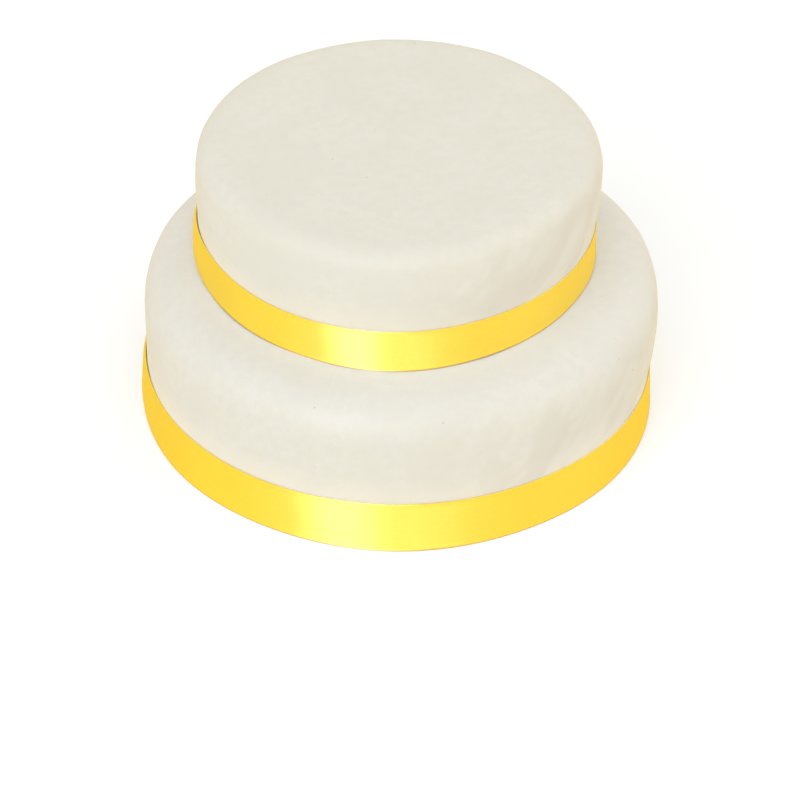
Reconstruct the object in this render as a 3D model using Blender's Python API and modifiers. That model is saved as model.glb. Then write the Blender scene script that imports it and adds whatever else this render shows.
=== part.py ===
"""Two-tier round cake under smooth rolled icing, with a satin ribbon round the foot of each tier.

The smaller tier stands on the larger one. Each tier is one solid: it is uncut, so nothing inside
it shows. Units are metres, +Z is up, and the origin is under the middle of the lower tier, on the
surface that the cake stands on. The front of the cake faces -Y.
"""

import math
from dataclasses import dataclass

import bmesh
import bpy
from mathutils import Matrix

COLLECTION = "two_tier_cake"
SEGMENTS = 96  # sides of everything round
GAP = 0.0003  # clearance between pieces that touch
MERGE = 0.00001  # points closer than this are one point
SHARP_ANGLE = math.radians(40)  # faces that meet at more than this show an edge

RIBBON_THICKNESS = 0.0007  # the ribbon with the tape that holds it
HEM_LIFT = 0.0005  # a ribbon's lower edge clears what its tier stands on by this
LAP_LENGTH = 0.014  # at the back one end of a ribbon lies over the other
LAP_PROUD = 0.0004  # how far the end on top stands out
LAP_SUNK = 0.0004  # how deep the end is fused into the ribbon below it

SHOULDER_STEPS = 9  # rings round the shoulder's curve
SHOULDER_POWER = 2.2  # 2 is an ellipse, and more is squarer
SIDE_STEPS = 5  # rings up the side above the ribbon
FOOT_CUT = 0.0015  # the icing is trimmed back to this chamfer at its foot


@dataclass(frozen=True)
class Tier:
    """One round of cake, measured over its icing, with the ribbon round its foot."""

    name: str
    radius: float  # at the ribbon
    height: float
    belly: float  # how far the side swells between the ribbon and the shoulder
    shoulder_in: float  # how far in from the side the flat top ends
    shoulder_down: float  # how far below the top the shoulder's curve ends
    lean: float  # how far the top is out of line with the foot, towards +X
    ribbon_width: float
    centre: tuple  # X and Y of the foot
    foot: float  # Z of the foot

    @property
    def ribbon_top(self):
        """Height of the ribbon's upper edge over the tier's foot."""
        return HEM_LIFT + self.ribbon_width


LOWER = Tier(
    name="lower",
    radius=0.1290,
    height=0.0833,
    belly=0.0006,
    shoulder_in=0.0220,
    shoulder_down=0.0212,
    lean=0.0009,
    ribbon_width=0.0291,
    centre=(0.0, 0.0),
    foot=0.0,
)
UPPER = Tier(
    name="upper",
    radius=0.0983,
    height=0.0665,
    belly=0.0016,
    shoulder_in=0.0105,
    shoulder_down=0.0095,
    lean=0.0011,
    ribbon_width=0.0232,
    centre=(-0.0020, 0.0030),
    foot=LOWER.height + GAP,
)

# name: (colour, roughness)
FINISHES = {
    "ivory_icing": ((0.80, 0.77, 0.68, 1.0), 0.55),
    "yellow_satin": ((0.96, 0.62, 0.06, 1.0), 0.35),
}


def clear_scene():
    for thing in list(bpy.data.objects):
        bpy.data.objects.remove(thing, do_unlink=True)


def make_material(name):
    """A plain Principled material with the finish's colour and roughness."""
    colour, roughness = FINISHES[name]
    material = bpy.data.materials.new(name)
    material.use_nodes = True
    shader = material.node_tree.nodes["Principled BSDF"]
    shader.inputs["Base Color"].default_value = colour
    shader.inputs["Roughness"].default_value = roughness
    shader.inputs["Metallic"].default_value = 0.0
    material.diffuse_color = colour
    return material


def side_radius(tier, z):
    """Radius of the side at a height over the foot, before the shoulder turns it inwards."""
    free = tier.height - tier.ribbon_top
    up = max(0.0, z - tier.ribbon_top) / free
    return tier.radius + tier.belly * math.sin(math.pi * up)


def shoulder(tier):
    """Points of the rounded shoulder, from the edge of the flat top down to the side."""
    points = []
    for step in range(SHOULDER_STEPS + 1):
        turn = math.pi / 2 * (1 - step / SHOULDER_STEPS)
        rise = math.sin(turn) ** (2 / SHOULDER_POWER)
        reach = math.cos(turn) ** (2 / SHOULDER_POWER)
        z = tier.height - tier.shoulder_down * (1 - rise)
        points.append((side_radius(tier, z) - tier.shoulder_in * (1 - reach), z))
    return points


def side(tier):
    """Points down the side, from under the shoulder to the foot."""
    top = tier.height - tier.shoulder_down
    points = []
    for step in range(1, SIDE_STEPS + 1):
        z = top + (tier.ribbon_top - top) * step / SIDE_STEPS
        points.append((side_radius(tier, z), z))
    points.append((tier.radius, FOOT_CUT))
    points.append((tier.radius - FOOT_CUT, 0.0))
    return points


def turned_mesh(name, profile, closed=False):
    """Turns a profile of (radius, height) points about Z with a Screw modifier, as a mesh."""
    flat = bpy.data.meshes.new(name + "_profile")
    last = len(profile)
    edges = [(i, i + 1) for i in range(last - 1)]
    if closed:
        edges.append((last - 1, 0))
    flat.from_pydata([(r, 0.0, z) for r, z in profile], edges, [])
    guide = bpy.data.objects.new(name + "_profile", flat)
    bpy.context.scene.collection.objects.link(guide)
    screw = guide.modifiers.new("turn", "SCREW")
    screw.axis = "Z"
    screw.angle = math.tau
    screw.steps = SEGMENTS
    screw.render_steps = SEGMENTS
    screw.use_merge_vertices = True
    screw.merge_threshold = MERGE
    graph = bpy.context.evaluated_depsgraph_get()
    mesh = bpy.data.meshes.new_from_object(guide.evaluated_get(graph))
    mesh.name = name
    bpy.data.objects.remove(guide, do_unlink=True)
    bpy.data.meshes.remove(flat)
    return mesh


def place(mesh, tier):
    """Leans a mesh as its tier leans, and moves it onto the tier's foot."""
    lean = Matrix.Identity(4)
    lean[0][2] = tier.lean / tier.height
    mesh.transform(Matrix.Translation((*tier.centre, tier.foot)) @ lean)


def add_object(name, mesh, material, collection):
    node = bpy.data.objects.new(name, mesh)
    mesh.materials.clear()
    mesh.materials.append(material)
    mesh.shade_smooth()
    mesh.set_sharp_from_angle(angle=SHARP_ANGLE)
    collection.objects.link(node)
    return node


def make_tier(tier, material, collection):
    """The iced round: flat top, rounded shoulder, side and trimmed foot."""
    profile = [(0.0, tier.height), *shoulder(tier), *side(tier), (0.0, 0.0)]
    mesh = turned_mesh(tier.name + "_tier", profile)
    place(mesh, tier)
    return add_object(tier.name + "_tier", mesh, material, collection)


def lap_box(tier, outer):
    """The ribbon's end at the back, as a thin box sunk into the band."""
    depth = LAP_SUNK + LAP_PROUD
    tall = tier.ribbon_width
    box = bpy.data.meshes.new(tier.name + "_lap")
    work = bmesh.new()
    bmesh.ops.create_cube(work, size=1.0)
    bmesh.ops.scale(work, vec=(LAP_LENGTH, depth, tall), verts=work.verts)
    middle = (0.0, outer - LAP_SUNK + depth / 2, HEM_LIFT + tall / 2)
    bmesh.ops.translate(work, vec=middle, verts=work.verts)
    work.to_mesh(box)
    work.free()
    return box


def join_lap(band, lap):
    """Fuses the lapped end to the band with an exact union, and applies it."""
    end = bpy.data.objects.new("lap", lap)
    bpy.context.scene.collection.objects.link(end)
    union = band.modifiers.new("lap", "BOOLEAN")
    union.operation = "UNION"
    union.solver = "EXACT"
    union.object = end
    graph = bpy.context.evaluated_depsgraph_get()
    joined = bpy.data.meshes.new_from_object(band.evaluated_get(graph))
    band.modifiers.remove(union)
    bpy.data.objects.remove(end, do_unlink=True)
    return joined


def make_ribbon(tier, material, collection):
    """A band round the tier's foot, clear of the icing, with its lap at the back."""
    inner = tier.radius + GAP
    outer = inner + RIBBON_THICKNESS
    top = tier.ribbon_top
    profile = [(inner, top), (outer, top), (outer, HEM_LIFT), (inner, HEM_LIFT)]
    name = tier.name + "_ribbon"
    band = add_object(name, turned_mesh(name, profile, closed=True), material, collection)
    band.data = join_lap(band, lap_box(tier, outer))
    place(band.data, tier)
    return band


def main():
    clear_scene()
    collection = bpy.data.collections.new(COLLECTION)
    bpy.context.scene.collection.children.link(collection)
    icing = make_material("ivory_icing")
    satin = make_material("yellow_satin")
    for tier in (LOWER, UPPER):
        make_tier(tier, icing, collection)
        make_ribbon(tier, satin, collection)


main()
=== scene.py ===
# %% [markdown]
# # A two-tier iced cake, finished in Blender
#
# The cake is two rounds of sponge under ivory rolled icing, one standing on the other, with a
# yellow satin ribbon drawn round the foot of each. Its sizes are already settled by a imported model
# of four solids. This lesson loads them as a fixed frame, and then makes what a maker's eye sees:
# hand-smoothed icing, woven satin, and the light that shows them.
#
# Everything is in metres. The front of the cake faces -Y, and +Z is up.

import math

import bmesh
import bpy
from mathutils import Matrix, Vector


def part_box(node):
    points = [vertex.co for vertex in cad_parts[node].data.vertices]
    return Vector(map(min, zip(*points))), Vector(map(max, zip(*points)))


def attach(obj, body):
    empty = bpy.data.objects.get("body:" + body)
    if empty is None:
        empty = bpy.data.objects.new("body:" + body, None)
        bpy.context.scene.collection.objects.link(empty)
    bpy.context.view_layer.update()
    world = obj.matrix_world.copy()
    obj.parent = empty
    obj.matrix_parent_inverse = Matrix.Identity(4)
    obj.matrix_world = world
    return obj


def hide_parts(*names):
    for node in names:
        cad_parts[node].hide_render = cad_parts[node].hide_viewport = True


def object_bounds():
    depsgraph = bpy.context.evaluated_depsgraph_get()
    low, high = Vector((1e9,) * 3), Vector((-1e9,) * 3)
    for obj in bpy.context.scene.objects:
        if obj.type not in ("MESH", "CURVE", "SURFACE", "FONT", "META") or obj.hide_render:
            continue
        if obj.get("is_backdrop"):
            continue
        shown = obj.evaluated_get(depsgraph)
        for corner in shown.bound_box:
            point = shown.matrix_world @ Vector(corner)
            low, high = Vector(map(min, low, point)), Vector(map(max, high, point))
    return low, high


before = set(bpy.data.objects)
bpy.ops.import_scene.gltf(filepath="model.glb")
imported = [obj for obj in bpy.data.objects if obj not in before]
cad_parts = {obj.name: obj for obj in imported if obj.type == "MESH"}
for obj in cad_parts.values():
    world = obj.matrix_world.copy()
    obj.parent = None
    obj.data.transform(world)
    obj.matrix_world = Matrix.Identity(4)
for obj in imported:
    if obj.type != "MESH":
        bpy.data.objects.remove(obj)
cad_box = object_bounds()
for node_name in sorted(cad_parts):
    low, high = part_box(node_name)
    size = ", ".join(f"{1000 * side:.1f}" for side in high - low)
    print(f"{node_name}: {size} mm")

# %% [markdown]
# ## The sizes that both tiers share
#
# A tier is fully told by a few numbers: how wide it is, how high, how far its shoulder rounds over,
# and how wide its ribbon is. The heights are read from the solids, so they can't drift away from
# them. The others are the sizes that the tiers were drawn with.

# %% Sizes
MM = 0.001
TIERS = {
    "lower": {
        "radius": 129.0 * MM,
        "belly": 0.6 * MM,
        "shoulder_in": 22.0 * MM,
        "shoulder_down": 21.2 * MM,
        "lean": 0.9 * MM,
        "centre": (0.0, 0.0),
    },
    "upper": {
        "radius": 98.3 * MM,
        "belly": 1.6 * MM,
        "shoulder_in": 10.5 * MM,
        "shoulder_down": 9.5 * MM,
        "lean": 1.1 * MM,
        "centre": (-2.0 * MM, 3.0 * MM),
    },
}
for name, tier in TIERS.items():
    foot, top = (corner.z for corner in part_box(name + "_tier"))
    hem, ribbon_top = (corner.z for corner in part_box(name + "_ribbon"))
    tier["foot"] = foot
    tier["height"] = top - foot
    tier["ribbon_top"] = ribbon_top - foot
    tier["ribbon_width"] = ribbon_top - hem
    print(f"{name}: {tier['height'] / MM:.1f} mm high, ribbon {tier['ribbon_width'] / MM:.1f} mm")

# %% [markdown]
# A cake that was iced by hand isn't truly round. Three rows of numbers for each tier say how far its
# side stands out or in, in millimetres, at every twelfth of a turn from the right round by the
# back. The first row holds at the foot, the second at the ribbon's upper edge, and the third above.

# %% How far each side stands out
UNEVEN = {
    "lower": {
        "hem": (0.8, 0.3, 0.0, 0.0, 0.1, 0.6, 1.6, 1.6, 0.6, 1.4, 0.7, 1.8),
        "edge": (-1.3, -0.6, -0.1, 0.0, 0.0, -0.3, -0.8, 0.9, 1.6, 1.4, 0.6, 1.2),
        "belly": (0.8, 0.2, 0.0, 0.0, 0.0, -0.4, -1.2, 0.0, 0.8, 0.5, 0.0, 0.5),
    },
    "upper": {
        "hem": (1.8, 0.8, 0.1, 0.0, 0.2, 0.8, 1.6, -0.8, -0.6, 1.0, -1.2, -1.1),
        "edge": (0.8, 0.3, 0.1, 0.0, 0.1, 0.2, 0.2, -0.7, 0.4, 1.1, -0.6, -0.4),
        "belly": (0.6, 0.1, 0.0, 0.0, 0.0, -0.4, -0.8, -0.6, 0.2, 0.6, -0.2, -0.1),
    },
}
EVEN_OUT = 10.0 * MM  # above the ribbon, the second row gives way to the third over this height


def ramp(value, start, end):
    """0 before start, 1 after end, and an eased rise between them."""
    share = min(1.0, max(0.0, (value - start) / (end - start)))
    return share * share * (3.0 - 2.0 * share)


def read_round(row, angle):
    """The row's value at an angle, in metres, with a smooth curve through its numbers."""
    place = (angle % math.tau) / math.tau * len(row)
    at = int(place)
    share = place - at
    before, here, after, beyond = (row[(at + k) % len(row)] for k in (-1, 0, 1, 2))
    curve = 2 * here + (after - before) * share
    curve += (2 * before - 5 * here + 4 * after - beyond) * share**2
    curve += (3 * here - before - 3 * after + beyond) * share**3
    return curve / 2 * MM


def stand_out(name, angle, z):
    """How far a tier's side stands out at this angle and this height over its foot."""
    ribbon_top = TIERS[name]["ribbon_top"]
    hem, edge, belly = (read_round(UNEVEN[name][row], angle) for row in ("hem", "edge", "belly"))
    if z < ribbon_top:
        return hem + (edge - hem) * max(0.0, z) / ribbon_top
    return edge + (belly - edge) * ramp(z, ribbon_top, ribbon_top + EVEN_OUT)


FRONT = math.radians(-90.0)
SAMPLE_HEIGHTS = (10.0 * MM, 30.0 * MM, 50.0 * MM)
for name in TIERS:
    front = [round(stand_out(name, FRONT, z) / MM, 2) for z in SAMPLE_HEIGHTS]
    print(f"{name}: the front stands out by {front} mm")

# %% [markdown]
# ## The camera
#
# The camera stands in front of the cake and looks down on it, as a person does who has just set it
# on a table. A long lens from a metre and a half away keeps the rounds from looking stretched. The
# camera was held a little askew, so it is rolled by about two thirds of a degree.
#
# A camera can be aimed with a constraint or an empty. Its matrix is written here instead, from
# where it looks, from how high and from how far, because then each number means something.

# %% The camera
CAMERA_LENS = 135.0  # in millimetres, on a 36 mm sensor
CAMERA_SENSOR = 36.0
CAMERA_HEIGHT_ANGLE = math.radians(38.32)
CAMERA_DISTANCE = 1.559
CAMERA_TARGET = Vector((1.34 * MM, 0.0, -9.95 * MM))
CAMERA_ROLL = 0.0114


def aim_camera():
    """The scene's camera, looking at its target from the front and above."""
    back = Vector((0.0, -math.cos(CAMERA_HEIGHT_ANGLE), math.sin(CAMERA_HEIGHT_ANGLE)))
    right = Vector((1.0, 0.0, 0.0))
    up = back.cross(right)
    turned = Matrix((right, up, back)).transposed() @ Matrix.Rotation(CAMERA_ROLL, 3, "Z")
    bpy.ops.object.camera_add()
    camera = bpy.context.object
    camera.name = "camera"
    camera.data.lens = CAMERA_LENS
    camera.data.sensor_width = CAMERA_SENSOR
    camera.matrix_world = Matrix.Translation(CAMERA_TARGET + back * CAMERA_DISTANCE) @ turned.to_4x4()
    bpy.context.scene.camera = camera
    return camera


camera = aim_camera()
print("camera at", [round(value, 3) for value in camera.matrix_world.translation])

# %% [markdown]
# ## Tools of the bench
#
# An operator works on whatever is selected. The frame leaves its solids selected, so each step
# first lets go of everything and then takes up one object. Modifiers are applied as they are made,
# so that each finished piece is a plain mesh with its place in its points.

# %% Helpers for selecting and for applying modifiers


def pick_only(piece):
    """Deselects everything, then selects one object and makes it active."""
    bpy.ops.object.select_all(action="DESELECT")
    piece.select_set(True)
    bpy.context.view_layer.objects.active = piece


def apply_modifier(piece, kind, **settings):
    """Adds a modifier with these settings, and applies it."""
    pick_only(piece)
    modifier = piece.modifiers.new(kind.title(), kind)
    for setting, value in settings.items():
        setattr(modifier, setting, value)
    bpy.ops.object.modifier_apply(modifier=modifier.name)


def count_triangles(piece):
    piece.data.calc_loop_triangles()
    return len(piece.data.loop_triangles)


# %% [markdown]
# ## The icing: a coarse cage first
#
# A covered round could be turned from a profile, or beveled from a cylinder. It is built here as a
# cage of few rings, extruded upwards one after another, with a grid of squares on top. A grid has no
# pole in the middle, so the top takes soft relief as evenly as the side does. The foot stays flat,
# so one face closes it. A subdivision surface then rounds the cage.
#
# A subdivision surface pulls a ring of points inwards a little. The cage is made wider by just that
# much, so the finished side has the radius that it should. It also rounds every fold, so the fold
# over the ribbon gets a ring close to it on either side.

# %% The cage of a tier
CAGE_SIDES = 64
GRID_SPAN = CAGE_SIDES // 4
PULL_IN = (4.0 + 2.0 * math.cos(math.tau / CAGE_SIDES)) / 6.0
SHOULDER_RINGS = 6
SHOULDER_POWER = 2.2
SIDE_RINGS = 4
FOLD = 3.0 * MM  # a ring this far over and under the ribbon's upper edge keeps the fold there crisp
FOOT_CUT = 1.5 * MM
FLAT_RING = 0.86  # the last ring before the grid, as a share of the flat top


def side_radius(tier, z):
    """Radius of the side at a height over the foot. It swells between ribbon and shoulder."""
    up = max(0.0, z - tier["ribbon_top"]) / (tier["height"] - tier["ribbon_top"])
    return tier["radius"] + tier["belly"] * math.sin(math.pi * up)


def cage_rings(tier):
    """(height over the foot, radius) of each ring, from the foot up to the flat top."""
    under_shoulder = tier["height"] - tier["shoulder_down"]
    rings = [(0.0, tier["radius"] - FOOT_CUT), (FOOT_CUT, tier["radius"])]
    for z in (tier["ribbon_top"] / 2, tier["ribbon_top"] - FOLD, tier["ribbon_top"]):
        rings.append((z, tier["radius"]))
    over_fold = tier["ribbon_top"] + FOLD
    for step in range(SIDE_RINGS):
        z = over_fold + (under_shoulder - over_fold) * step / SIDE_RINGS
        rings.append((z, side_radius(tier, z)))
    for step in range(SHOULDER_RINGS + 1):
        turn = math.pi / 2 * step / SHOULDER_RINGS
        rise = math.sin(turn) ** (2 / SHOULDER_POWER)
        reach = math.cos(turn) ** (2 / SHOULDER_POWER)
        z = tier["height"] - tier["shoulder_down"] * (1.0 - rise)
        rings.append((z, side_radius(tier, z) - tier["shoulder_in"] * (1.0 - reach)))
    flat = rings[-1][1]
    rings.append((tier["height"], flat * (1.0 + FLAT_RING) / 2))
    rings.append((tier["height"], flat * FLAT_RING))
    return rings


def ring_place(tier, z):
    """The middle of the ring at a height over the foot. Higher rings lean towards +X."""
    x, y = tier["centre"]
    return Vector((x + tier["lean"] * z / tier["height"], y, tier["foot"] + z))


def build_cage(name, tier):
    """Extrudes the rings upwards from a circle. A grid closes the top, and one face the foot."""
    rings = cage_rings(tier)
    bpy.ops.object.select_all(action="DESELECT")
    bpy.ops.mesh.primitive_circle_add(
        vertices=CAGE_SIDES,
        radius=rings[0][1] / PULL_IN,
        fill_type="NOTHING",
        location=ring_place(tier, rings[0][0]),
    )
    icing = bpy.context.object
    icing.name = name + "_icing"
    bpy.ops.object.transform_apply(location=True, rotation=True, scale=True)
    bpy.ops.object.mode_set(mode="EDIT")
    bpy.ops.mesh.select_all(action="SELECT")
    for (z, radius), (next_z, next_radius) in zip(rings, rings[1:]):
        step = ring_place(tier, next_z) - ring_place(tier, z)
        bpy.ops.mesh.extrude_region_move(TRANSFORM_OT_translate={"value": step})
        share = next_radius / radius
        bpy.ops.transform.resize(value=(share, share, 1.0), center_override=ring_place(tier, next_z))
    bpy.ops.mesh.fill_grid(span=GRID_SPAN)
    select_low(icing, tier["foot"] + MM / 2)
    bpy.ops.mesh.edge_face_add()
    bpy.ops.mesh.select_all(action="SELECT")
    bpy.ops.mesh.normals_make_consistent(inside=False)
    bpy.ops.object.mode_set(mode="OBJECT")
    press_uneven(icing, name, tier)
    return icing


def flat_edge(tier):
    """How far from the axis the flat top ends and the shoulder begins."""
    return tier["radius"] - tier["shoulder_in"]


def press_uneven(icing, name, tier):
    """Moves the cage's points out or in, as the rows of numbers say, and the flat top's less."""
    for vertex in icing.data.vertices:
        angle, reach, z = place_round(tier, vertex.co)
        share = min(1.0, reach / flat_edge(tier)) ** 2
        shift = share * stand_out(name, angle, z)
        vertex.co += Vector((shift * math.cos(angle), shift * math.sin(angle), 0.0))


def place_round(tier, point):
    """Angle round the tier, distance from its axis, and height over its foot."""
    z = point.z - tier["foot"]
    middle = ring_place(tier, z)
    x, y = point.x - middle.x, point.y - middle.y
    return math.atan2(y, x), math.hypot(x, y), z


def select_low(piece, z):
    """In edit mode, selects the edges whose two ends are lower than z."""
    bpy.ops.mesh.select_all(action="DESELECT")
    mesh = bmesh.from_edit_mesh(piece.data)
    for edge in mesh.edges:
        edge.select_set(all(end.co.z < z for end in edge.verts))
    bmesh.update_edit_mesh(piece.data)


icings = {name: build_cage(name, tier) for name, tier in TIERS.items()}
for icing in icings.values():
    print(f"{icing.name}: cage of {len(icing.data.vertices)} points")

# %% [markdown]
# ## Where the hands went
#
# Rolled icing is smoothed with the palm and a paddle. The top is pressed nearly flat, the side
# keeps soft waves, and one side of this cake, the front right, keeps long slanted strokes. Under
# the ribbon the icing is pressed true.
#
# These places are written into the cage as vertex groups. The subdivision surface spreads the
# weights smoothly, and the relief that follows reads them as its mask.

# %% Masks for the relief
STROKES_AT = math.radians(-38.0)  # the middle of the strokes, counted from +X towards +Y
STROKES_FULL = math.radians(18.0)  # they are full this far to either side
STROKES_REACH = math.radians(52.0)  # and gone this far
FADE_ABOVE_RIBBON = 7.0 * MM
TOP_SHARE = 0.3  # relief left on the flat top, as a share of the side's
TOP_FADE = 0.8  # of the way to the flat top's edge, where the relief begins to grow
STROKES_UP_TO = 0.95  # of the same way, where the last strokes end


def angle_between(first, second):
    """How far apart two angles are, the short way round."""
    return abs((first - second + math.pi) % math.tau - math.pi)


def side_weight(tier, point):
    """1 on the open side and shoulder, less on the flat top, and 0 under the ribbon."""
    _, reach, z = place_round(tier, point)
    above = ramp(z, tier["ribbon_top"], tier["ribbon_top"] + FADE_ABOVE_RIBBON)
    on_top = 1.0 - ramp(reach, TOP_FADE * flat_edge(tier), flat_edge(tier))
    return above * (1.0 - (1.0 - TOP_SHARE) * on_top)


def stroke_weight(tier, point):
    """1 at the front right of the open side, fading round it and over the shoulder."""
    angle, reach, z = place_round(tier, point)
    around = 1.0 - ramp(angle_between(angle, STROKES_AT), STROKES_FULL, STROKES_REACH)
    above = ramp(z, tier["ribbon_top"], tier["ribbon_top"] + FADE_ABOVE_RIBBON)
    return around * above * ramp(reach, STROKES_UP_TO * flat_edge(tier), tier["radius"])


def weigh(piece, tier, name, rule):
    """A vertex group whose weights follow a rule of each point's place."""
    group = piece.vertex_groups.new(name=name)
    for vertex in piece.data.vertices:
        group.add([vertex.index], rule(tier, vertex.co), "REPLACE")


for name, tier in TIERS.items():
    weigh(icings[name], tier, "side", side_weight)
    weigh(icings[name], tier, "strokes", stroke_weight)
print("masks:", [group.name for group in icings["lower"].vertex_groups])

# %% [markdown]
# ## Soft relief in the icing
#
# A displace modifier moves each point along its normal by the shade of a texture. Four cloud
# textures of falling size are laid over each other: the broad waves of the sponge below, the
# palm's dents, the paddle's strokes, and a fine skin. The strokes are the same clouds seen through
# an empty that is stretched along one axis and tipped, so they run long and slanted, up to the right.

# %% Subdivide and displace
LEVELS = 3
# name: (size of the clouds, height of the relief, mask)
RELIEF = {
    "waves": (55.0 * MM, 1.1 * MM, "side"),
    "palm_dents": (21.0 * MM, 0.45 * MM, "side"),
    "strokes": (15.0 * MM, 1.6 * MM, "strokes"),
    "skin": (5.0 * MM, 0.07 * MM, "side"),
}
STROKE_STRETCH = 2.6
STROKE_TIP = (math.radians(-37.0), math.radians(36.0), 0.0)


def make_cloud(name, cloud_size):
    texture = bpy.data.textures.new(name, "CLOUDS")
    texture.noise_scale = cloud_size
    texture.noise_depth = 1
    return texture


def make_stroke_guide():
    """A long tipped empty, through which the clouds look like strokes."""
    bpy.ops.object.empty_add(rotation=STROKE_TIP)
    guide = bpy.context.object
    guide.scale = (1.0, 1.0, STROKE_STRETCH)
    bpy.context.view_layer.update()
    return guide


def smooth_by_hand(piece, guide):
    """Rounds the cage, then lays the relief on it."""
    apply_modifier(piece, "SUBSURF", levels=LEVELS, render_levels=LEVELS)
    for name, (cloud_size, depth, mask) in RELIEF.items():
        settings = {
            "texture": make_cloud(name, cloud_size),
            "strength": depth,
            "mid_level": 0.5,
            "vertex_group": mask,
            "texture_coords": "LOCAL",
        }
        if name == "strokes":
            settings["texture_coords"] = "OBJECT"
            settings["texture_coords_object"] = guide
        apply_modifier(piece, "DISPLACE", **settings)
    piece.data.shade_smooth()


stroke_guide = make_stroke_guide()
for icing in icings.values():
    smooth_by_hand(icing, stroke_guide)
    print(f"{icing.name}: {count_triangles(icing)} triangles")
bpy.data.objects.remove(stroke_guide)

# %% [markdown]
# ## The ribbons
#
# A ribbon is a long flat strip, so it is modelled as one: a grid of the cut length, with close rows
# at both edges for the woven selvedges. Then each point is carried round the tier. At the back the
# last stretch lies over the first. The paper-thin strip gets its thickness at the end.
#
# Bending the strip with a modifier would do for a plain loop. Carrying its points round by a rule
# also lets the end step outwards, and lets the ribbon stand off a little at the left, where the
# photographed ribbons hang slightly loose.

# %% The flat strip
SATIN_THICKNESS = 0.35 * MM
SATIN_CLEARANCE = 0.05 * MM
LAP_LENGTH = 14.0 * MM
LAP_RISE = 3.0 * MM  # how soon the upper end climbs over the lower one
COLUMN_WIDTH = 1.7 * MM
SELVEDGE = 0.9 * MM
SELVEDGE_ROWS = 4
BODY_ROWS = 12
SELVEDGE_PROUD = 0.10 * MM


def strip_rows(width):
    """Heights of the rows across a ribbon, close together in its two selvedges."""
    edge = [SELVEDGE * row / SELVEDGE_ROWS for row in range(SELVEDGE_ROWS)]
    body = [SELVEDGE + (width - 2 * SELVEDGE) * row / BODY_ROWS for row in range(BODY_ROWS + 1)]
    return edge + body + [width - value for value in reversed(edge)]


def lay_strip(name, width, length):
    """A flat ribbon in the XY plane, its length along X, with a UV map in metres."""
    rows = strip_rows(width)
    columns = round(length / COLUMN_WIDTH)
    bpy.ops.object.select_all(action="DESELECT")
    bpy.ops.mesh.primitive_grid_add(x_subdivisions=columns, y_subdivisions=len(rows) - 1, size=1.0)
    strip = bpy.context.object
    strip.name = name
    for vertex in strip.data.vertices:
        row = round((vertex.co.y + 0.5) * (len(rows) - 1))
        vertex.co = ((vertex.co.x + 0.5) * length, rows[row], 0.0)
    weave = strip.data.uv_layers.active
    weave.name = "weave"
    for loop in strip.data.loops:
        point = strip.data.vertices[loop.vertex_index].co
        weave.data[loop.index].uv = (point.x, point.y)
    return strip


# %% [markdown]
# The strip starts at the back and runs once round. A hand that lays a ribbon feels for the icing
# under it, and so does this rule: for each point a ray is sent inwards until it meets the icing.
# To that it adds the lap's step, the little bead of each selvedge, a faint ripple, and the slack at
# the left, which bulges most at mid-width.

# %% Carry it round the tier
LOOSE_AT = math.radians(180.0)  # the left side
LOOSE_REACH = (math.radians(8.0), math.radians(24.0))  # fully loose inside the first
LOOSE = 1.3 * MM  # how far its middle stands off
LOOSE_EDGE = 0.25 * MM  # and its upper edge
LOOSE_POWER = 4  # 2 would bulge as an arc, and more is flatter in the middle
HELD_HEM = {"lower": 0.40 * MM, "upper": 0.08 * MM}  # each hem's height over what the tier stands on
RIPPLE = 0.10 * MM
RIPPLES_ROUND = 7
RIPPLE_SLANT = 4.0  # radians by which a ripple shifts from hem to upper edge
FEEL_FROM = 200.0 * MM  # the finger starts this far from the axis
HANGS_FROM = 10.0 * MM  # nearer to the foot than this the ribbon hangs straight down
SHARP_ANGLE = math.radians(50.0)  # faces that meet at more than this show an edge


def feel_icing(name, angle, z):
    """How far the iced side stands from the tier's axis, felt from outside."""
    tier = TIERS[name]
    outwards = Vector((math.cos(angle), math.sin(angle), 0.0))
    felt_z = max(z, HANGS_FROM)
    middle = ring_place(tier, felt_z)
    _, place, _, _ = icings[name].ray_cast(middle + FEEL_FROM * outwards, -outwards)
    below = stand_out(name, angle, z) - stand_out(name, angle, felt_z)
    return (place - middle).length + below


def ribbon_radius(name, along, across, length, angle):
    """Distance from the tier's axis to the ribbon's inner face."""
    width = TIERS[name]["ribbon_width"]
    radius = feel_icing(name, angle, HELD_HEM[name] + across) + SATIN_CLEARANCE
    climb = ramp(along, length - LAP_LENGTH - LAP_RISE, length - LAP_LENGTH)
    radius += (SATIN_THICKNESS + SATIN_CLEARANCE) * climb
    from_edge = min(across, width - across)
    if from_edge < SELVEDGE:
        radius += SELVEDGE_PROUD * math.sin(math.pi * from_edge / SELVEDGE)
    loose = 1.0 - ramp(angle_between(angle, LOOSE_AT), *LOOSE_REACH)
    slack = LOOSE * (1.0 - (2.0 * across / width - 1.0) ** LOOSE_POWER)
    slack += LOOSE_EDGE * ramp(across, width / 2, width)
    ripple = math.sin(RIPPLES_ROUND * angle + RIPPLE_SLANT * across / width)
    return radius + loose * slack + RIPPLE * (1.0 + ripple) / 2


def carry_round(strip, name, length):
    """Winds the flat strip round its tier, seen from above against the clock."""
    tier = TIERS[name]
    start = math.pi / 2 - LAP_LENGTH / 2 / tier["radius"]
    bpy.context.view_layer.update()
    for vertex in strip.data.vertices:
        along, across = vertex.co.x, vertex.co.y
        angle = start + along / (tier["radius"] + SATIN_CLEARANCE)
        radius = ribbon_radius(name, along, across, length, angle)
        middle = ring_place(tier, HELD_HEM[name] + across)
        vertex.co = middle + Vector((radius * math.cos(angle), radius * math.sin(angle), 0.0))


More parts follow.
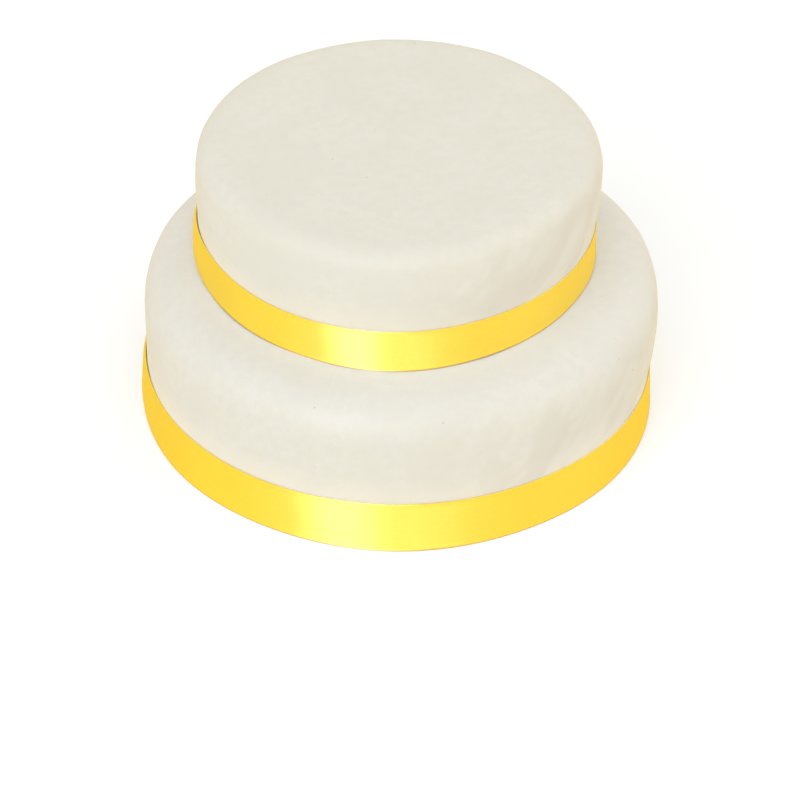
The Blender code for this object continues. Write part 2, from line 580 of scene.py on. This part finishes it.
def make_ribbon(name, tier):
    """Cuts the strip, winds it round and thickens it."""
    length = math.tau * (tier["radius"] + SATIN_CLEARANCE) + LAP_LENGTH
    strip = lay_strip(name + "_satin", tier["ribbon_width"], length)
    carry_round(strip, name, length)
    apply_modifier(strip, "SOLIDIFY", thickness=SATIN_THICKNESS, offset=1.0)
    strip.data.shade_smooth()
    strip.data.set_sharp_from_angle(angle=SHARP_ANGLE)
    return strip, length


ribbons = {}
for name, tier in TIERS.items():
    ribbons[name], tier["ribbon_length"] = make_ribbon(name, tier)
    cut = f"cut {tier['ribbon_length'] / MM:.0f} mm long"
    print(f"{name}_satin: {cut}, {count_triangles(ribbons[name])} triangles")

# %% [markdown]
# ## Node groups: an effect built once
#
# Both tiers are the same icing and both ribbons the same satin, but each sits elsewhere. A node
# group holds the effect, and its inputs hold what differs. Groups give out colours and heights
# only. The shader itself stays in each material.

# %% Helpers for node trees


def new_group(name, inputs, outputs):
    """A shader node group with these sockets. Returns the tree and its two end nodes."""
    tree = bpy.data.node_groups.new(name, "ShaderNodeTree")
    for direction, sockets in (("INPUT", inputs), ("OUTPUT", outputs)):
        for socket_name, kind in sockets.items():
            tree.interface.new_socket(name=socket_name, in_out=direction, socket_type="NodeSocket" + kind)
    return tree, tree.nodes.new("NodeGroupInput").outputs, tree.nodes.new("NodeGroupOutput").inputs


def fill_inputs(tree, node, inputs):
    """Sets each input to a value, or links it from a socket. i0, i1 and so on count the inputs."""
    for input_name, value in inputs.items():
        counted = input_name[0] == "i" and input_name[1:].isdigit()
        key = int(input_name[1:]) if counted else input_name.replace("_", " ")
        if isinstance(value, bpy.types.NodeSocket):
            tree.links.new(value, node.inputs[key])
        else:
            node.inputs[key].default_value = value


def add_node(tree, kind, settings=None, **inputs):
    """Adds a node with these settings and inputs."""
    node = tree.nodes.new("ShaderNode" + kind)
    for setting, value in (settings or {}).items():
        setattr(node, setting, value)
    fill_inputs(tree, node, inputs)
    return node


def place_group(tree, group, **inputs):
    """Adds a node that stands for a group, with these inputs."""
    node = tree.nodes.new("ShaderNodeGroup")
    node.node_tree = group
    fill_inputs(tree, node, inputs)
    return node


def calculate(tree, operation, first, second=0.0, third=0.0):
    """One step of arithmetic on values or sockets."""
    return add_node(tree, "Math", {"operation": operation}, i0=first, i1=second, i2=third).outputs[0]


def blend_colours(tree, share, first, second, how="MIX"):
    """A colour between two others, or between the first and its product with the second."""
    settings = {"data_type": "RGBA", "blend_type": how}
    return add_node(tree, "Mix", settings, i0=share, i6=first, i7=second).outputs[2]


def stretch(tree, value, low, high, to_low=0.0, to_high=1.0):
    """Maps low..high to to_low..to_high, with eased ends."""
    settings = {"interpolation_type": "SMOOTHSTEP"}
    ends = {"i1": low, "i2": high, "i3": to_low, "i4": to_high}
    return add_node(tree, "MapRange", settings, i0=value, **ends).outputs[0]


def clouds(tree, point, scale, detail=2.0):
    """Soft noise between 0 and 1 at a place."""
    return add_node(tree, "TexNoise", Vector=point, Scale=scale, Detail=detail).outputs["Fac"]


# %% [markdown]
# ## The skin of rolled icing
#
# Rolled icing is sugar dough. It is pale and matt, with a faint mottle where it was kneaded, a few
# pin-prick pits from air, and here and there a crumb that shows as a darker speck. Just above the
# ribbon a warmer cream with an uneven edge is painted in, which stands for warm light bounced onto
# the side from below. The tops and shoulders are painted lighter and cooler than the side, to show
# how the light falls on them. The paddle's strokes stand out, and they are also painted in a darker
# shade, which stands for the shade in their dents. Apart from the crumbs, none of these is more than
# a tenth brighter or darker than the rest, and without them it would look like plastic.
#
# Each effect is a short function that takes the colour so far and gives back the next one.

# %% The effects in the icing's skin
# name: (clouds in a metre, their detail, where the shade sets in, where it is full, how much)
MOTTLE = {
    "broad": (26.0, 3.0, 0.35, 0.65, 0.60),
    "fine": (210.0, 3.0, 0.35, 0.70, 0.70),
    "grain": (800.0, 2.0, 0.40, 0.70, 0.35),
}
WARM_CLOUDS = 26.0  # clouds in a metre
WARM_WOBBLE = 14.0 * MM
STREAK_CLOUDS = 62.0
STREAK_RANGE = (0.40, 0.62, 0.0, 0.8)
STREAKS_FACING = (math.cos(STROKES_REACH), math.cos(STROKES_FULL))
SPECK_CELLS = 130.0
SPECK_SIZE = (0.020, 0.090)  # of a cell: full inside the first, gone past the second
SPECK_RARITY = 0.75  # the share of cells that hold none
CRUMB_RANGE = (0.4, 0.9, 0.15, 0.6)  # some pits are pale, and some hold a dark crumb


def lay_mottle(tree, point, colour, shade):
    """Three sizes of clouds, a little darker. Gives the colour, and the clouds by name."""
    made = {}
    for name, (scale, detail, low, high, most) in MOTTLE.items():
        made[name] = clouds(tree, point, scale, detail)
        share = stretch(tree, made[name], low, high, 0.0, most)
        colour = blend_colours(tree, share, colour, shade)
    return colour, made


def lay_warm_bounce(tree, point, height, colour, given):
    """Painted warm bounce light above the ribbon: a warmer cream, with an uneven upper edge."""
    wobble = calculate(tree, "MULTIPLY_ADD", clouds(tree, point, WARM_CLOUDS), WARM_WOBBLE, height)
    warmth = stretch(tree, wobble, given["Warm From"], given["Warm To"], 1.0, 0.0)
    return blend_colours(tree, warmth, colour, given["Warm"])


def find_stroked(tree, point, towards):
    """1 where the side faces the strokes, fading round it as their relief does."""
    level = add_node(tree, "VectorMath", {"operation": "MULTIPLY"}, i0=point, i1=(1.0, 1.0, 0.0))
    outwards = add_node(tree, "VectorMath", {"operation": "NORMALIZE"}, i0=level.outputs[0]).outputs[0]
    facing = add_node(tree, "VectorMath", {"operation": "DOT_PRODUCT"}, i0=outwards, i1=towards)
    return stretch(tree, facing.outputs["Value"], *STREAKS_FACING)


def lay_stroke_shade(tree, point, side, colour, given):
    """Painted shade of the paddle's strokes: slanted streaks a little darker, on the side alone."""
    here = calculate(tree, "MULTIPLY", find_stroked(tree, point, given["Streaks Towards"]), side)
    along = {"Rotation": STROKE_TIP, "Scale": (1.0, 1.0, STROKE_STRETCH)}
    tipped = add_node(tree, "Mapping", {"vector_type": "TEXTURE"}, Vector=point, **along)
    strokes = stretch(tree, clouds(tree, tipped.outputs["Vector"], STREAK_CLOUDS), *STREAK_RANGE)
    return blend_colours(tree, calculate(tree, "MULTIPLY", strokes, here), colour, given["Streak"])


def lay_specks(tree, point, colour, speck):
    """Pin-prick pits, some with a crumb. Gives the colour, and 1 where a pit is."""
    cells = add_node(tree, "TexVoronoi", Vector=point, Scale=SPECK_CELLS)
    near = stretch(tree, cells.outputs["Distance"], *SPECK_SIZE, 1.0, 0.0)
    chance = add_node(tree, "SeparateColor", Color=cells.outputs["Color"])
    rare = calculate(tree, "GREATER_THAN", chance.outputs[0], SPECK_RARITY)
    pit = calculate(tree, "MULTIPLY", near, rare)
    crumb = calculate(tree, "MULTIPLY", pit, stretch(tree, chance.outputs[1], *CRUMB_RANGE))
    return blend_colours(tree, crumb, colour, speck), pit


# %% [markdown]
# The group lays the effects over one another. It gives out the colour, the roughness, which follows
# the broad mottle, and a height for the bump: the fine mottle with the grain on it, and the pits.

# %% The icing's node group
ROUGHNESS_RANGE = (0.3, 0.7, 0.44, 0.56)
GRAIN_HEIGHT = 0.35  # as a share of the fine mottle's
PIT_DEPTH = 0.4
ICING_INPUTS = {
    "Point": "Vector",
    "Ivory": "Color",
    "Shade": "Color",
    "Warm": "Color",
    "Speck": "Color",
    "Warm From": "Float",
    "Warm To": "Float",
    "Ledge": "Color",
    "Ledge From": "Float",
    "Ledge To": "Float",
    "Streak": "Color",
    "Streaks Towards": "Vector",
}


def make_icing_group():
    outputs = {"Color": "Color", "Roughness": "Float", "Height": "Float"}
    tree, given, result = new_group("icing_skin", ICING_INPUTS, outputs)
    point = given["Point"]
    height = add_node(tree, "SeparateXYZ", Vector=point).outputs["Z"]
    colour, mottle = lay_mottle(tree, point, given["Ivory"], given["Shade"])
    colour = lay_warm_bounce(tree, point, height, colour, given)
    # painted light: the tops and shoulders are multiplied lighter and cooler
    ledge = stretch(tree, height, given["Ledge From"], given["Ledge To"])
    colour = blend_colours(tree, ledge, colour, given["Ledge"], "MULTIPLY")
    side = calculate(tree, "SUBTRACT", 1.0, ledge)
    colour = lay_stroke_shade(tree, point, side, colour, given)
    colour, pit = lay_specks(tree, point, colour, given["Speck"])
    relief = calculate(tree, "MULTIPLY_ADD", mottle["grain"], GRAIN_HEIGHT, mottle["fine"])
    relief = calculate(tree, "MULTIPLY_ADD", pit, -PIT_DEPTH, relief)
    tree.links.new(colour, result["Color"])
    tree.links.new(stretch(tree, mottle["broad"], *ROUGHNESS_RANGE), result["Roughness"])
    tree.links.new(relief, result["Height"])
    return tree


icing_group = make_icing_group()
print("icing_skin:", len(icing_group.nodes), "nodes")

# %% [markdown]
# ## The icing's material
#
# Sugar dough lets a little light in, so the shader has some subsurface scattering with a reach of a
# few millimetres, longest for red. That softens the dents, as it does on the real cake. Its gloss is
# weak, because the skin is dry and dusted.

# %% The icing's material, once for each tier
IVORY = (0.790, 0.758, 0.664, 1.0)
IVORY_SHADE = (0.756, 0.722, 0.620, 1.0)
# painted light: the warm light bounced onto the side just above the ribbon
IVORY_WARM_BOUNCE = (0.875, 0.802, 0.650, 1.0)
# painted shade: darker streaks that stand for the shade in the strokes' dents
IVORY_STROKE_SHADE = (0.735, 0.690, 0.585, 1.0)
SPECK = (0.50, 0.42, 0.29, 1.0)
# painted light: what each top and shoulder multiplies the ivory by, to show them lighter and cooler than
# the side; the lower one more so
PAINTED_TOP_LIGHT = {"lower": (1.015, 1.032, 1.085, 1.0), "upper": (1.0, 1.005, 1.02, 1.0)}
SCATTER_SHARE = 0.25
SCATTER_REACH = (1.0, 0.75, 0.5)
SCATTER_SCALE = 3.0 * MM
ICING_IOR = 1.3
ICING_GLOSS = 0.3
ICING_BUMP = 0.12 * MM
ICING_BUMP_SHARE = 0.6
# how far above the ribbon the painted warm bounce reaches
WARM_BOUNCE_BAND = 24.0 * MM


def new_material(name):
    """An empty material with a Principled shader. Returns it with its tree and the shader."""
    material = bpy.data.materials.new(name)
    material.use_nodes = True
    tree = material.node_tree
    return material, tree, tree.nodes["Principled BSDF"]


def make_icing_material(name, tier):
    material, tree, shader = new_material(name + "_ivory_icing")
    ribbon_top = tier["foot"] + tier["ribbon_top"]
    skin = place_group(
        tree,
        icing_group,
        Point=add_node(tree, "TexCoord").outputs["Object"],
        Ivory=IVORY,
        Shade=IVORY_SHADE,
        Warm=IVORY_WARM_BOUNCE,
        Speck=SPECK,
        Warm_From=ribbon_top,
        Warm_To=ribbon_top + WARM_BOUNCE_BAND,
        Ledge=PAINTED_TOP_LIGHT[name],
        Ledge_From=tier["foot"] + tier["height"] - tier["shoulder_down"],
        Ledge_To=tier["foot"] + tier["height"],
        Streak=IVORY_STROKE_SHADE,
        Streaks_Towards=(math.cos(STROKES_AT), math.sin(STROKES_AT), 0.0),
    )
    relief = {"Distance": ICING_BUMP, "Strength": ICING_BUMP_SHARE}
    bump = add_node(tree, "Bump", Height=skin.outputs["Height"], **relief)
    tree.links.new(skin.outputs["Color"], shader.inputs["Base Color"])
    tree.links.new(skin.outputs["Roughness"], shader.inputs["Roughness"])
    tree.links.new(bump.outputs["Normal"], shader.inputs["Normal"])
    shader.inputs["Subsurface Weight"].default_value = SCATTER_SHARE
    shader.inputs["Subsurface Radius"].default_value = SCATTER_REACH
    shader.inputs["Subsurface Scale"].default_value = SCATTER_SCALE
    shader.inputs["IOR"].default_value = ICING_IOR
    shader.inputs["Specular IOR Level"].default_value = ICING_GLOSS
    return material


def give_material(piece, material):
    piece.data.materials.clear()
    piece.data.materials.append(material)


for name, tier in TIERS.items():
    give_material(icings[name], make_icing_material(name, tier))
    print(icings[name].name, "wears", icings[name].data.materials[0].name)

# %% [markdown]
# ## Satin
#
# In satin the long threads float over many cross threads before they dip under one. The floats lie
# side by side along the ribbon, so light that falls across them is spread upwards and downwards but
# not sideways. On a ribbon round a cake that makes one bright upright band.
#
# Each float is a brick of a brick texture, a quarter of a millimetre high and one and a half long.
# The selvedges are woven plain and tight, with ribs across. Along the hem a deeper orange is
# painted, which stands for the contact shadow under the ribbon's lower edge.

# %% The satin's node group
FLOAT_LENGTH = 1.5 * MM
FLOAT_HEIGHT = 0.24 * MM
FLOAT_GAP = 0.02 * MM
FLOAT_STEP = 0.4  # of a float, by which a stepped row starts further along
STEP_EVERY = 2  # every second row is stepped
THREAD_HEIGHT = 0.5  # of a float's roundness, against its dips at the ends
RIB_PITCH = 0.55 * MM
RIB_SHADE = 0.45
STREAK_SCALE = (35.0, 2600.0, 1.0)  # long along the ribbon and thin across
STREAK_SHADE = (0.35, 0.75, 0.0, 0.5)
SATIN_INPUTS = {
    "Point": "Vector",
    "Yellow": "Color",
    "Deep": "Color",
    "Hem": "Color",
    "Width": "Float",
    "Selvedge": "Float",
    "Hem Width": "Float",
}


def weave_floats(tree, point, given):
    """The floats as a brick texture. Gives its colour, and 1 in the gaps."""
    settings = {"offset": FLOAT_STEP, "offset_frequency": STEP_EVERY}
    colours = {"Color1": given["Yellow"], "Color2": given["Deep"], "Mortar": given["Deep"]}
    sizes = {"Mortar_Size": FLOAT_GAP, "Brick_Width": FLOAT_LENGTH, "Row_Height": FLOAT_HEIGHT}
    floats = add_node(tree, "TexBrick", settings, Vector=point, Scale=1.0, **colours, **sizes)
    return floats.outputs["Color"], floats.outputs["Fac"]


def make_satin_group():
    outputs = {"Color": "Color", "Height": "Float"}
    tree, given, result = new_group("satin_weave", SATIN_INPUTS, outputs)
    point = given["Point"]
    colour, gaps = weave_floats(tree, point, given)
    drawn_out = add_node(tree, "VectorMath", {"operation": "MULTIPLY"}, i0=point, i1=STREAK_SCALE)
    streaks = stretch(tree, clouds(tree, drawn_out.outputs["Vector"], 1.0), *STREAK_SHADE)
    colour = blend_colours(tree, streaks, colour, given["Deep"])
    along, across, _ = add_node(tree, "SeparateXYZ", Vector=point).outputs
    from_edge = calculate(tree, "MINIMUM", across, calculate(tree, "SUBTRACT", given["Width"], across))
    woven = calculate(tree, "LESS_THAN", from_edge, given["Selvedge"])
    colour = blend_colours(tree, calculate(tree, "MULTIPLY", woven, RIB_SHADE), colour, given["Deep"])
    # painted shadow: a deeper orange along the hem
    hem_shadow = calculate(tree, "LESS_THAN", across, given["Hem Width"])
    colour = blend_colours(tree, hem_shadow, colour, given["Hem"])
    ribs = calculate(tree, "SINE", calculate(tree, "MULTIPLY", along, math.tau / RIB_PITCH))
    rounds = calculate(tree, "COSINE", calculate(tree, "MULTIPLY", across, math.tau / FLOAT_HEIGHT))
    floats = calculate(tree, "SUBTRACT", calculate(tree, "MULTIPLY", rounds, -THREAD_HEIGHT), gaps)
    body = calculate(tree, "MULTIPLY", floats, calculate(tree, "SUBTRACT", 1.0, woven))
    tree.links.new(colour, result["Color"])
    tree.links.new(calculate(tree, "MULTIPLY_ADD", ribs, woven, body), result["Height"])
    return tree


satin_group = make_satin_group()
print("satin_weave:", len(satin_group.nodes), "nodes")

# %% [markdown]
# ## The satin's material
#
# The shader is anisotropic. Its tangent lies along the ribbon and is turned by a quarter, so the
# gleam is drawn out upwards and downwards. A thread shines partly in its own colour and partly in
# white, which a metallic value of a quarter gives. The photographed icing shows hardly any yellow
# beside the ribbon, so what the satin throws onto other things is a paler colour than its own.

# %% The satin's material, once for each ribbon
SATIN_YELLOW = (0.995, 0.765, 0.045, 1.0)
SATIN_DEEP = (0.980, 0.695, 0.032, 1.0)
# painted shadow: the contact shadow under the hem, and how wide it is drawn
SATIN_HEM_SHADOW = (0.850, 0.460, 0.020, 1.0)
HEM_SHADOW_WIDTH = 0.55 * MM
SATIN_THROWN = (0.680, 0.665, 0.610, 1.0)
SATIN_METALLIC = 0.25
SATIN_ROUGHNESS = 0.42
SATIN_DRAWN_OUT = 1.0  # as far as the shader can draw a gleam out
SATIN_TURN = 0.25  # of a full turn
SATIN_IOR = 1.6
SATIN_GLOSS = 1.0
SATIN_BUMP = 0.02 * MM
SATIN_BUMP_SHARE = 0.5


def make_satin_material(name, tier):
    material, tree, shader = new_material(name)
    weave = place_group(
        tree,
        satin_group,
        Point=add_node(tree, "UVMap", {"uv_map": "weave"}).outputs["UV"],
        Yellow=SATIN_YELLOW,
        Deep=SATIN_DEEP,
        Hem=SATIN_HEM_SHADOW,
        Width=tier["ribbon_width"],
        Selvedge=SELVEDGE,
        Hem_Width=HEM_SHADOW_WIDTH,
    )
    thrown = add_node(tree, "LightPath").outputs["Is Diffuse Ray"]
    colour = blend_colours(tree, thrown, weave.outputs["Color"], SATIN_THROWN)
    relief = {"Distance": SATIN_BUMP, "Strength": SATIN_BUMP_SHARE}
    bump = add_node(tree, "Bump", Height=weave.outputs["Height"], **relief)
    along = add_node(tree, "Tangent", {"direction_type": "UV_MAP", "uv_map": "weave"})
    tree.links.new(colour, shader.inputs["Base Color"])
    tree.links.new(bump.outputs["Normal"], shader.inputs["Normal"])
    tree.links.new(along.outputs["Tangent"], shader.inputs["Tangent"])
    shader.inputs["Metallic"].default_value = SATIN_METALLIC
    shader.inputs["Roughness"].default_value = SATIN_ROUGHNESS
    shader.inputs["Anisotropic"].default_value = SATIN_DRAWN_OUT
    shader.inputs["Anisotropic Rotation"].default_value = SATIN_TURN
    shader.inputs["IOR"].default_value = SATIN_IOR
    shader.inputs["Specular IOR Level"].default_value = SATIN_GLOSS
    return material


for name, tier in TIERS.items():
    give_material(ribbons[name], make_satin_material(name + "_yellow_satin", tier))
    print(ribbons[name].name, "wears", ribbons[name].data.materials[0].name)

# %% [markdown]
# ## The floor
#
# The cake stands on a plain pale floor, so large that the camera, which looks down, sees no edge of
# it. It is no part of the cake, so it is declared as stage. It is nearly white, and glows faintly so
# that it stays as bright as the photographed surroundings. The light that it throws back up is
# darker than it looks, or the sides would be lit too much from below.

# %% The floor
FLOOR_SIZE = 16.0
FLOOR_COLOUR = (0.98, 0.98, 0.975, 1.0)
FLOOR_DULLER = (0.970, 0.970, 0.965, 1.0)  # the other colour of its faint clouds
FLOOR_CLOUDS = 3.0
FLOOR_CLOUD_RANGE = (0.3, 0.7)
FLOOR_THROWN = (0.82, 0.82, 0.82, 1.0)
FLOOR_GLOW = 0.08
FLOOR_ROUGHNESS = 0.8
FLOOR_GLOSS = 0.1


def make_floor():
    bpy.ops.object.select_all(action="DESELECT")
    bpy.ops.mesh.primitive_plane_add(size=FLOOR_SIZE, location=(0.0, 0.0, 0.0))
    floor = bpy.context.object
    floor.name = "floor"
    bpy.ops.object.transform_apply(location=True, rotation=True, scale=True)
    material, tree, shader = new_material("pale_floor")
    point = add_node(tree, "TexCoord").outputs["Object"]
    shade = stretch(tree, clouds(tree, point, FLOOR_CLOUDS), *FLOOR_CLOUD_RANGE)
    colour = blend_colours(tree, shade, FLOOR_COLOUR, FLOOR_DULLER)
    thrown = add_node(tree, "LightPath").outputs["Is Diffuse Ray"]
    tree.links.new(blend_colours(tree, thrown, colour, FLOOR_THROWN), shader.inputs["Base Color"])
    shader.inputs["Emission Color"].default_value = FLOOR_COLOUR
    shader.inputs["Emission Strength"].default_value = FLOOR_GLOW
    shader.inputs["Roughness"].default_value = FLOOR_ROUGHNESS
    shader.inputs["Specular IOR Level"].default_value = FLOOR_GLOSS
    give_material(floor, material)
    floor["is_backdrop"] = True
    return floor


floor = make_floor()

# %% [markdown]
# ## Light
#
# The photograph looks as if it was taken in a bright pale room, with a broad window at the front
# left. The window, two panels overhead and the pale surroundings light the icing, and a warm panel
# at the right stands for a lamp or a wall there.
#
# The gleams are lights that only gloss mirrors. The matt icing hardly feels them, so the satin's
# band can be shaped by itself: one narrow strong panel makes the bright upright band, and weaker
# ones beside it make the slow fall towards both sides. Gloss also mirrors golden surroundings in
# place of pale ones, because the threads of a real satin mirror one another, and it doesn't mirror
# the floor.

# %% Panels and surrounding light
UPRIGHT = 90.0  # degrees that a light, which faces down as it is added, is turned to face level


def light_panel(name, azimuth, distance, middle, width, height, tilt, watts, colour):
    """A rectangular area light at this azimuth: 0 is the front, and + is to the right.

    With no tilt it stands upright like a window, and with a tilt of 90 it faces straight down.
    """
    turn = math.radians(azimuth)
    place = (distance * math.sin(turn), -distance * math.cos(turn), middle)
    facing = (math.radians(UPRIGHT - tilt), 0.0, turn)
    bpy.ops.object.light_add(type="AREA", location=place, rotation=facing)
    panel = bpy.context.object
    panel.name = name
    panel.data.shape = "RECTANGLE"
    panel.data.size = width
    panel.data.size_y = height
    panel.data.energy = watts
    panel.data.color = colour
    panel.visible_camera = False
    return panel


# name: (azimuth, distance, height of the middle, width, height, tilt, watts, colour)
PANELS = {
    "window": (-30.0, 3.0, 2.40, 3.4, 4.0, 0.0, 45.5, (0.88, 0.94, 1.0)),
    "gleam": (-17.4, 3.0, 2.05, 1.42, 4.0, 0.0, 286.0, (0.80, 0.88, 1.0)),
    "fill_gleam": (22.5, 3.0, 2.05, 3.0, 4.0, 0.0, 50.0, (0.80, 0.90, 0.92)),
    "left_gleam": (-70.0, 3.0, 2.05, 2.8, 4.0, 0.0, 30.0, (1.0, 1.0, 0.3)),
    "right_gleam": (85.0, 3.0, 2.05, 7.5, 4.0, 0.0, 26.0, (1.0, 0.95, 0.3)),
    "warm_side": (75.0, 3.2, 0.5, 2.4, 1.0, 0.0, 9.5, (1.0, 0.89, 0.68)),
    "overhead": (0.0, 1.6, 2.6, 4.5, 1.6, 58.0, 11.4, (0.88, 0.94, 1.0)),
    "overhead_back": (140.0, 1.4, 3.0, 3.4, 2.4, 60.0, 19.0, (0.90, 0.97, 1.0)),
}
GLOSS_ONLY = ("gleam", "fill_gleam", "left_gleam", "right_gleam")
SURROUND = (0.722, 0.712, 0.700, 1.0)
GLOSSY_SURROUND = (1.15, 0.80, 0.24, 1.0)
BACKDROP = (0.98, 0.98, 0.98, 1.0)
for panel_name, settings in PANELS.items():
    panel = light_panel(panel_name, *settings)
    panel.visible_diffuse = panel_name not in GLOSS_ONLY
    print(panel_name, "at azimuth", settings[0], "degrees,", settings[6], "W")
floor.visible_glossy = False


def light_surround():
    """Even pale light from all round, golden where gloss mirrors it, and a pale backdrop."""
    world = bpy.data.worlds.new("studio")
    bpy.context.scene.world = world
    world.use_nodes = True
    tree = world.node_tree
    background = tree.nodes["Background"]
    rays = add_node(tree, "LightPath").outputs
    colour = blend_colours(tree, rays["Is Glossy Ray"], SURROUND, GLOSSY_SURROUND)
    colour = blend_colours(tree, rays["Is Camera Ray"], colour, BACKDROP)
    tree.links.new(colour, background.inputs["Color"])


light_surround()

# %% [markdown]
# ## Colour management
#
# The yellow is nearly as strong as a screen can show, and the surroundings are white. The standard
# view transform keeps both. A filmic one would dull them.

# %% View transform
bpy.context.scene.view_settings.view_transform = "Standard"
bpy.context.scene.view_settings.look = "None"
bpy.context.scene.view_settings.exposure = 0.0

# %% [markdown]
# ## Each piece in its solid's place
#
# Each icing stands for its tier's solid, and each ribbon for its band, so the solids are hidden. They
# all ride on the one body, because nothing on a cake moves. The ribbons are cloth.

for name, tier in TIERS.items():
    icing, ribbon = icings[name], ribbons[name]
    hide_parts(name + "_tier")
    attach(icing, "root")
    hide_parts(name + "_ribbon")
    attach(ribbon, "root")

# %% [markdown]
# Last, the box around the solids and the box around the finished pieces are printed side by side,
# so that anyone can see that the finish hasn't grown past the sizes that were settled.

# %% Print both boxes
visual_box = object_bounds()
boxes = {
    "cad": [list(corner) for corner in cad_box],
    "visual": [list(corner) for corner in visual_box],
}
for label, (low, high) in boxes.items():
    print(label, [round((b - a) / MM, 1) for a, b in zip(low, high)], "mm")
